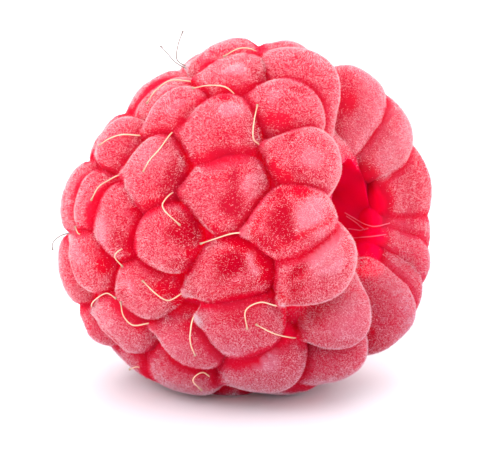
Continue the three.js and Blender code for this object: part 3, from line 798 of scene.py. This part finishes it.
class Surface:
    """A material and the nodes that its base colour is mixed from."""

    def __init__(self, name, sockets):
        self.material = bpy.data.materials.new(name)
        self.material.use_nodes = True
        self.nodes = self.material.node_tree.nodes
        self.links = self.material.node_tree.links
        self.shader = self.nodes["Principled BSDF"]
        for socket, value in sockets.items():
            self.shader.inputs[socket].default_value = value

    def attribute(self, name):
        """What keep_on kept under this name."""
        node = self.nodes.new("ShaderNodeAttribute")
        node.attribute_name = name
        return node.outputs["Fac"]

    def noise(self, scale, detail):
        """Noise with `scale` bumps to the millimetre."""
        node = self.nodes.new("ShaderNodeTexNoise")
        node.inputs["Scale"].default_value = scale / MM
        node.inputs["Detail"].default_value = detail
        place = self.nodes.new("ShaderNodeTexCoord")
        self.links.new(place.outputs["Object"], node.inputs["Vector"])
        return node.outputs["Fac"]

    def ramp(self, source, *stops):
        """Colours by the source's value, from (value, colour) stops."""
        node = self.nodes.new("ShaderNodeValToRGB")
        band = node.color_ramp.elements
        while len(band) < len(stops):
            band.new(0.5)
        for element, (at, colour) in zip(band, stops):
            element.position = at
            element.color = (*colour, 1)
        self.links.new(source, node.inputs["Fac"])
        return node.outputs["Color"]

    def mix(self, factor, a, b, kind="MIX"):
        """From a to b by the factor; each colour is a socket or three numbers."""
        node = self.nodes.new("ShaderNodeMix")
        node.data_type = "RGBA"
        node.blend_type = kind
        self.links.new(factor, node.inputs[0])
        for colour, socket in ((a, node.inputs[6]), (b, node.inputs[7])):
            if isinstance(colour, tuple):
                socket.default_value = (*colour, 1)
            else:
                self.links.new(colour, socket)
        return node.outputs[2]

    def grain(self, height, strength, distance):
        """A fine bump over the whole surface."""
        node = self.nodes.new("ShaderNodeBump")
        node.inputs["Strength"].default_value = strength
        node.inputs["Distance"].default_value = distance
        self.links.new(height, node.inputs["Height"])
        self.links.new(node.outputs["Normal"], self.shader.inputs["Normal"])

    def colour(self, source):
        self.links.new(source, self.shader.inputs["Base Color"])


def skin_material():
    """Translucent red flesh, paler where the fuzz is thick and deep red in the valleys, with painted light
    brighter deep in the valleys and in the hollow, and painted shade low down, on under sides and on the
    drupelets' inner ends in the mouth.
    """
    skin = Surface("raspberry_skin", {
        "Roughness": 0.6,
        "IOR": 1.4,
        "Specular IOR Level": 0.01,
        "Subsurface Weight": 0.9,
        "Subsurface Radius": (1.0, 0.08, 0.13),
        "Subsurface Scale": 3.0 * MM,
        "Sheen Weight": 0.02,
        "Sheen Roughness": 0.2,
        "Sheen Tint": (1.0, 0.62, 0.68, 1),
    })
    speckle = skin.ramp(skin.noise(scale=8.0, detail=3), (0.38, BLACK), (0.62, WHITE))
    downy = skin.mix(speckle, SKIN_RED, SKIN_PINK)
    # painted light: brighter red deep in the valleys
    bare = skin.mix(skin.attribute("pit"), VALLEY_RED, PIT_GLOW_RED)
    tone = skin.mix(skin.attribute("open"), bare, downy)
    tone = skin.mix(skin.attribute("down"), tone, DOWNY_PINK)
    # worn patches, and painted shade on the drupelets' inner ends in the mouth
    tone = skin.mix(skin.attribute("wear_and_shade"), tone, WORN_AND_SHADE_RED)
    tone = skin.mix(skin.attribute("tint"), tone, TINT_RED)
    tone = skin.mix(skin.attribute("nib"), tone, NIB_PINK)
    # painted shade: darker low down, most of all towards the mouth
    tone = skin.mix(skin.attribute("low"), tone, LOW_SHADE, "MULTIPLY")
    # painted light: the hollow's brighter red
    skin.colour(skin.mix(skin.attribute("inside"), tone, HOLLOW_GLOW_RED))
    skin.grain(skin.noise(scale=5.0, detail=4), strength=0.25, distance=0.05 * MM)
    return skin.material


def fuzz_material():
    """Fine whitish hairs, no two quite alike, with painted shade: redder in the valleys and darker low
    down.
    """
    fuzz = Surface("raspberry_fuzz", {"Roughness": 0.7, "Specular IOR Level": 0.2})
    tone = fuzz.ramp(fuzz.noise(scale=3, detail=2), (0.35, HAIR_PINK), (0.65, HAIR_PALE))
    tone = fuzz.mix(fuzz.attribute("white"), tone, HAIR_WHITE)
    # painted shade: the hairs redder in the valleys
    tone = fuzz.mix(fuzz.attribute("deep"), tone, HAIR_SHADE_RED)
    # painted shade: the hairs darker low down, too
    fuzz.colour(fuzz.mix(fuzz.attribute("low"), tone, LOW_SHADE, "MULTIPLY"))
    return fuzz.material


def thread_material():
    """Dried yellowish tan, darker towards the end, and on some grey."""
    threads = Surface("raspberry_threads", {
        "Roughness": 0.55,
        "Subsurface Weight": 0.3,
        "Subsurface Radius": (1.0, 0.6, 0.3),
        "Subsurface Scale": 0.15 * MM,
    })
    tone = threads.ramp(threads.attribute("along"), *THREAD_TONES)
    threads.colour(threads.mix(threads.attribute("grey"), tone, THREAD_GREY))
    return threads.material


def strand_material():
    """Thin fibre, pale against the red."""
    return Surface("raspberry_strands", {"Base Color": (*STRAND_PINK, 1), "Roughness": 0.6}).material


# -------- the skin
def own_piece(name, mesh, material):
    piece = new_object(name, mesh)
    mesh.materials.clear()
    mesh.materials.append(material)
    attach(piece, "root")
    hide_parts(NODE)
    return piece


TINTS = (0.0, 0.35)  # how much drupelets differ in colour
TINT_SEED = 5
NIB_PALENESS = 0.35
PIT_DEPTH = (0.1, 0.6)  # how far out a valley turns from the painted glow of its depth to its own red
CREASE = 38  # degrees: sharper edges are shaded sharp


def make_skin():
    mesh = fuse_berry()
    places = places_of(mesh)
    owner, gap, here = survey(places)
    tints = np.random.default_rng(TINT_SEED).uniform(*TINTS, len(DRUPELETS))
    marks = marks_at(owner, here, places)
    downy = down_and_shade_cover(owner, gap, here, places, normals_of(mesh))
    # where the hollow's red is painted brighter
    inside = inside_hollow(places, *HOLLOW_GLOW_SPAN)
    # painted shade: the down thins on under sides, which show bare red
    keep_on(mesh, "open", downy)
    # worn patches, and painted shade on the drupelets' inner ends in the mouth, in the cavity's shade
    keep_on(mesh, "wear_and_shade", np.maximum(marks, bare_inside(owner, places) * (1 - inside)))
    keep_on(mesh, "down", np.maximum(0, -marks) * downy)
    keep_on(mesh, "nib", NIB_PALENESS * near_nib(here, gap))
    keep_on(mesh, "tint", tints[owner])
    # painted shade low down, for the material
    keep_on(mesh, "low", low_painted_shade(places))
    # painted light deep in the valleys, away from the mouth
    keep_on(mesh, "pit", (1 - smooth(*PIT_DEPTH, here[:, 2])) * (1 - mouth_end(owner, here)))
    keep_on(mesh, "inside", inside)
    mesh.shade_smooth()
    mesh.set_sharp_from_angle(angle=rad(CREASE))
    return own_piece("raspberry_skin", mesh, skin_material())


# -------- the threads and strands
def smooth_path(points):
    """A curve through the points, evenly sampled."""
    p = np.asarray(points, dtype=float)
    p = np.concatenate([2 * p[:1] - p[1:2], p, 2 * p[-1:] - p[-2:-1]])
    t = np.linspace(0, 1, PATH_STEPS, endpoint=False)[:, None]
    rows = []
    for a, b, c, d in zip(p, p[1:], p[2:], p[3:]):
        square = (2 * a - 5 * b + 4 * c - d) * t**2
        cube = (3 * b - a - 3 * c + d) * t**3
        rows.append(0.5 * (2 * b + (c - a) * t + square + cube))
    rows.append(p[-2][None])
    return np.concatenate(rows)


def tube(path, radii, sides):
    """Places and faces of a closed tube along the path, its ends a little pointed."""
    tangents = unit(np.gradient(path, axis=0))
    side = unit(np.cross(tangents[0], TUBE_SIDE))
    start, end = TUBE_ENDS
    places = [path[0] - tangents[0] * radii[0] * start]
    for p, t, r in zip(path, tangents, radii):
        side = unit(side - t * (side @ t))
        other = np.cross(t, side)
        for k in range(sides):
            turn = -2 * math.pi * k / sides
            places.append(p + r * (side * math.cos(turn) + other * math.sin(turn)))
    places.append(path[-1] + tangents[-1] * radii[-1] * end)
    return places, closed_rings(len(path), sides)


def add_tube(places, faces, line, radii, sides):
    """Adds a tube to the places and faces of a mesh."""
    points, rings = tube(line, radii, sides)
    faces += [tuple(len(places) + i for i in face) for face in rings]
    places += points


def ruled_thread(d):
    """The CAD part's rule for the drupelets that the photograph doesn't show."""
    start = d.points(NIB_WAY[None])[0]
    side = 1 if draw(d.number, 7) > 0 else -1
    long = 1 + 0.4 * draw(d.number, 8)
    return [start + long * (d.tip * a + d.out * b + d.across * side * c) for a, b, c in RULED_THREAD]


def has_ruled_thread(d):
    first, last = UNDERSIDE
    under = first <= d.bearing <= last
    return not d.listed and not under and draw(d.number, 9) > BARE_SHARE - 0.5


def thread_radii(share):
    """Tapering from the root, with a small knob at the end."""
    taper = THREAD_RADIUS * (THREAD_ROOT - THREAD_TAPER * share)
    return taper + THREAD_RADIUS * THREAD_KNOB * smooth(KNOB_FROM, 1.0, share)


def make_threads():
    paths = [np.asarray(path) + CENTRE for path in THREADS]
    paths += [ruled_thread(d) for d in DRUPELETS if has_ruled_thread(d)]
    places, faces, along, grey = [], [], [], []
    for number, path in enumerate(paths):
        line = smooth_path(path)
        share = np.linspace(0, 1, len(line))
        add_tube(places, faces, line, thread_radii(share), THREAD_SIDES)
        along += [0.0, *np.repeat(share, THREAD_SIDES), 1.0]
        grey += [float(number in GREY_THREADS)] * (len(places) - len(grey))
    mesh = write_mesh("raspberry_threads", places, faces)
    keep_on(mesh, "along", along)
    keep_on(mesh, "grey", grey)
    mesh.shade_smooth()
    own_piece("raspberry_threads", mesh, thread_material())


def make_strands():
    places, faces = [], []
    for path in STRANDS:
        line = smooth_path(np.asarray(path) + CENTRE)
        add_tube(places, faces, line, np.full(len(line), STRAND_RADIUS), STRAND_SIDES)
    mesh = write_mesh("raspberry_strands", places, faces)
    mesh.shade_smooth()
    own_piece("raspberry_strands", mesh, strand_material())


# -------- the fuzz
HAIRS = 560_000
HAIRS_A_PIECE = 190_000
HAIR_SUNK = 0.01  # how far its root lies under the skin
HAIR_RADIUS = 0.011
HAIR_LENGTH = (0.05, 0.12)
HAIR_RISE = (30, 85)  # degrees off the skin
HAIR_CLEAR = 0.02  # how far above the floor its tip has to be
EDGE_HAIRS = 0.5  # how much thicker the down stands along a drupelet's edge
VALLEY_HAIRS = 0.08  # how much of it stands in the valleys,
NIB_HAIRS = 4  # and on a nib
NIB_HAIR_LONGER = 1.5
WORN_HAIRS = 0.84  # how much of it a worn patch has lost,
DOWNY_HAIRS = 0.5  # and a downy one has gained
SHADE_RED_WAY = 0.15  # how far past the valley the hairs get a painted reddish shade
HAIR_SEED = 17


def hair_cover(places, normals):
    """For each place: how thick the hairs stand, how near a nib it is and how deep in a valley it lies,
    where the hairs get a painted reddish shade.
    """
    owner, gap, here = survey(places)
    marks = marks_at(owner, here, places)
    nib = near_nib(here, gap)
    past = past_valley(owner, gap, here, places)
    edge = EDGE_HAIRS * bell(past, EDGE_WAY, EDGE_WIDTH) * (normals[:, 2] > 0)
    edge *= out_of_pits(owner, here, places)
    thick = down_and_shade_cover(owner, gap, here, places, normals) + edge + VALLEY_HAIRS
    thick *= (1 - WORN_HAIRS * np.maximum(0, marks)) * (1 + DOWNY_HAIRS * np.maximum(0, -marks))
    thick = (thick + NIB_HAIRS * nib) * (1 - bare_inside(owner, places)) ** 2
    return thick, nib, 1 - smooth(0.0, SHADE_RED_WAY, past)


def hair_roots(mesh, rng):
    """Roots spread over the skin by its cover, with the skin's normal, nib and depth there."""
    places = places_of(mesh)
    corners = triangles_of(mesh)
    thick, nib, deep = hair_cover(places, normals_of(mesh))
    a, b, c = (places[corners[:, k]] for k in range(3))
    cross = np.cross(b - a, c - a)
    weight = np.linalg.norm(cross, axis=1) / 2 * thick[corners].mean(axis=1)
    pick = rng.choice(len(weight), HAIRS, p=weight / weight.sum())
    u, v = rng.random((2, HAIRS))
    flip = u + v > 1
    u[flip], v[flip] = 1 - u[flip], 1 - v[flip]
    roots = a[pick] + u[:, None] * (b - a)[pick] + v[:, None] * (c - a)[pick]
    return roots, unit(cross)[pick], nib[corners[pick, 0]], deep[corners[pick, 0]]


def hair_blades(roots, normals, nib, rng):
    """Three corners for each hair, that rise off the skin any way round."""
    count = len(roots)
    any_way = rng.normal(size=(count, 3))
    flat = unit(any_way - normals * (any_way * normals).sum(axis=1, keepdims=True))
    rise = np.radians(rng.uniform(*HAIR_RISE, count))[:, None]
    ways = flat * np.cos(rise) + normals * np.sin(rise)
    tips = roots + ways * (rng.uniform(*HAIR_LENGTH, count) * (1 + NIB_HAIR_LONGER * nib))[:, None]
    side = unit(np.cross(ways, rng.normal(size=(count, 3)))) * HAIR_RADIUS
    base = roots - ways * HAIR_SUNK
    return np.stack([base + side, base - side, tips], axis=1)


def blade_mesh(name, blades):
    """One mesh of many separate three-cornered blades."""
    count = len(blades)
    mesh = bpy.data.meshes.new(name)
    mesh.vertices.add(count * 3)
    mesh.vertices.foreach_set("co", (blades * MM).reshape(-1))
    mesh.loops.add(count * 3)
    mesh.loops.foreach_set("vertex_index", np.arange(count * 3))
    mesh.polygons.add(count)
    mesh.polygons.foreach_set("loop_start", np.arange(count) * 3)
    mesh.update(calc_edges=True)
    return mesh


def make_fuzz(skin):
    rng = np.random.default_rng(HAIR_SEED)
    roots, normals, nib, deep = hair_roots(skin.data, rng)
    blades = hair_blades(roots, normals, nib, rng)
    clear = blades[:, 2, 2] > HAIR_CLEAR
    blades, nib, deep = blades[clear], nib[clear], deep[clear]
    material = fuzz_material()
    for number, start in enumerate(range(0, len(blades), HAIRS_A_PIECE), 1):
        some = slice(start, start + HAIRS_A_PIECE)
        mesh = blade_mesh(f"raspberry_fuzz_{number}", blades[some])
        keep_on(mesh, "white", np.repeat(nib[some], 3))
        # painted shade in the valleys
        keep_on(mesh, "deep", np.repeat(deep[some], 3))
        # painted shade low down on the hairs
        keep_on(mesh, "low", low_painted_shade(blades[some].reshape(-1, 3)))
        own_piece(mesh.name, mesh, material)


# -------- floor, light and camera
FLOOR_SIZE = 3000
STUDIO_GLOW = 1.95  # an even white all round
LIGHTS = [  # name, place, how wide, watts
    ("behind", (-60, 280, 180), 240, 0.4),
    ("right_back", (250, 170, 130), 160, 0.15),
    ("left_front", (-160, -200, 180), 200, 0.22),
]
VIEW_AZIMUTH = 18.3  # degrees
VIEW_ELEVATION = 15
VIEW_DISTANCE = 300
VIEW_LENS = 365
VIEW_ASIDE = 0.12  # how far right of CENTRE the picture's middle is,
VIEW_BELOW = 0.47  # and how far below
VIEW_CLIP = (10, 10_000)


def make_floor():
    half = FLOOR_SIZE / 2
    corners = [(-half, -half, 0), (half, -half, 0), (half, half, 0), (-half, half, 0)]
    floor = new_object("floor", write_mesh("floor", corners, [(0, 1, 2, 3)]))
    paper = Surface("floor_white", {
        "Base Color": (*FLOOR_WHITE, 1),
        "Roughness": 0.6,
        "Specular IOR Level": 0.2,
    })
    floor.data.materials.append(paper.material)


def area_light(name, place, size, watts):
    """A round lamp that shines at the middle of the berry."""
    light = bpy.data.lights.new(name, "AREA")
    light.shape = "DISK"
    light.size = size * MM
    light.energy = watts
    lamp = new_object(name, light)
    lamp.location = Vector(place) * MM
    lamp.rotation_mode = "QUATERNION"
    lamp.rotation_quaternion = (Vector(place) - Vector(CENTRE)).to_track_quat("Z", "Y")


def make_light():
    world = bpy.data.worlds.new("studio")
    bpy.context.scene.world = world
    world.use_nodes = True
    background = world.node_tree.nodes["Background"]
    background.inputs["Color"].default_value = (*GLOW_WHITE, 1)
    background.inputs["Strength"].default_value = STUDIO_GLOW
    for name, place, size, watts in LIGHTS:
        area_light(name, place, size, watts)


def make_camera():
    a, e = rad(VIEW_AZIMUTH), rad(VIEW_ELEVATION)
    back = vec(math.sin(a) * math.cos(e), -math.cos(a) * math.cos(e), math.sin(e))
    right = vec(math.cos(a), math.sin(a), 0)
    up = np.cross(back, right)
    data = bpy.data.cameras.new("camera")
    data.lens = VIEW_LENS
    data.clip_start, data.clip_end = (clip * MM for clip in VIEW_CLIP)
    camera = new_object("camera", data)
    camera.location = Vector(CENTRE + right * VIEW_ASIDE - up * VIEW_BELOW + back * VIEW_DISTANCE) * MM
    camera.rotation_mode = "QUATERNION"
    camera.rotation_quaternion = Vector(back).to_track_quat("Z", "Y")
    bpy.context.scene.camera = camera


make_camera()
make_light()
make_floor()
skin = make_skin()
make_threads()
make_strands()
make_fuzz(skin)
bpy.context.scene.view_settings.view_transform = "Standard"
